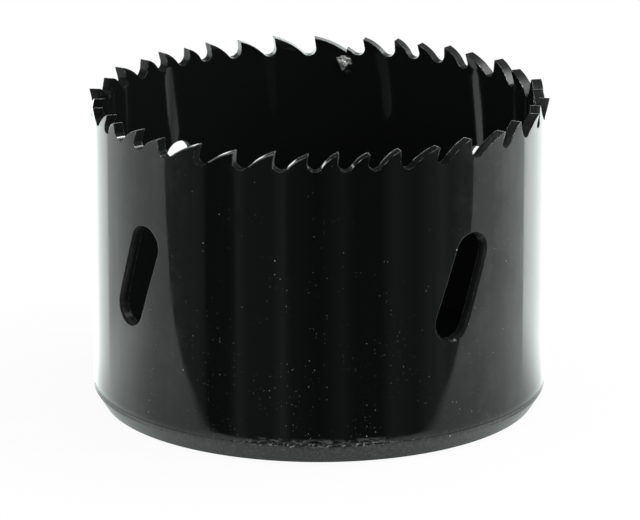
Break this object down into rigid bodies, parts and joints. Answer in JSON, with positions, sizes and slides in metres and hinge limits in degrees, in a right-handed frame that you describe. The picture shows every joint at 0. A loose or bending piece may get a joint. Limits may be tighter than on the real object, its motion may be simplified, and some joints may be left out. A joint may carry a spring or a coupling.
{
  "type": "hole saw",
  "caption": "Black painted hole saw: a toothed steel cylinder with slanting side slots on a round end plate with a threaded centre hole and drive pin holes.",
  "frame": {"origin": "centre of the end plate's underside, on the saw's axis", "axes": "+Z along the saw's axis, towards the teeth; the four slots face +X, +Y, -X and -Y"},
  "size_m": [0.0645, 0.0643, 0.0442],
  "materials": {
    "band_paint": "gloss",
    "plate_paint": "gloss"
  },
  "bodies": {
    "root": {"saw_band": "band_paint", "end_plate": "plate_paint"}
  },
  "joints": []
}
